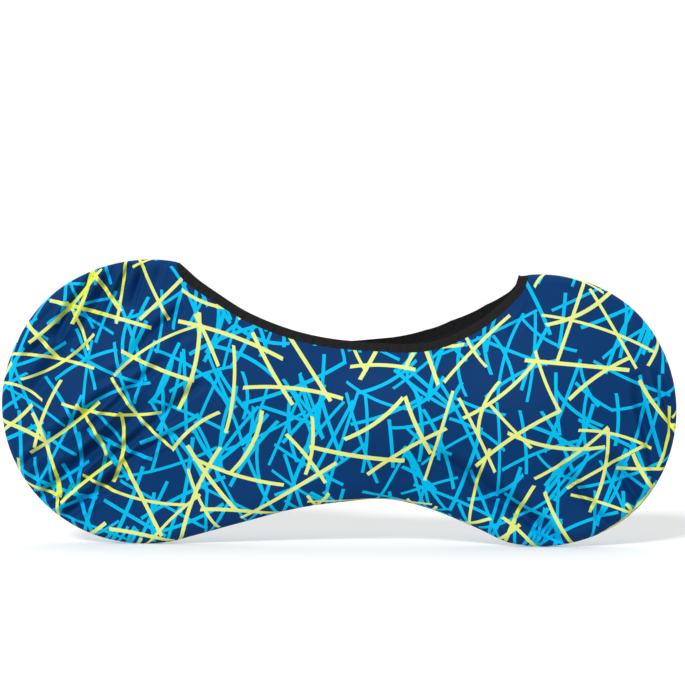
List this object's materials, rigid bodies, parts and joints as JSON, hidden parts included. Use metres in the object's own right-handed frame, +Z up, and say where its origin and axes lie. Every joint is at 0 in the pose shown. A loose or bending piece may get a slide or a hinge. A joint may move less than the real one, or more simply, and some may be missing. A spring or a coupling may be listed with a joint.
{
  "type": "bicycle cover",
  "caption": "Stretch cloth cover for a bicycle's wheels and lower half, hollow, in the peanut shape in which it hangs there: sewn side panels, open top edge with elastic binding.",
  "frame": {"origin": "on the floor line, midway between the cover's front and rear ends, in the plane of the outline seam", "axes": "+X towards the rear wheel's pocket, +Y towards the far side, +Z up"},
  "size_m": [1.7046, 0.1459, 0.7199],
  "materials": {
    "printed_stretch_cloth": "smooth polyester and elastane knit, navy with a criss-cross of cyan and lime-yellow strokes, black inside",
    "elastic_binding": "matt black folded elastic, sewn on"
  },
  "bodies": {
    "root": {"panel_near": "printed_stretch_cloth", "panel_far": "printed_stretch_cloth", "binding_near": "elastic_binding", "binding_far": "elastic_binding"}
  },
  "joints": []
}
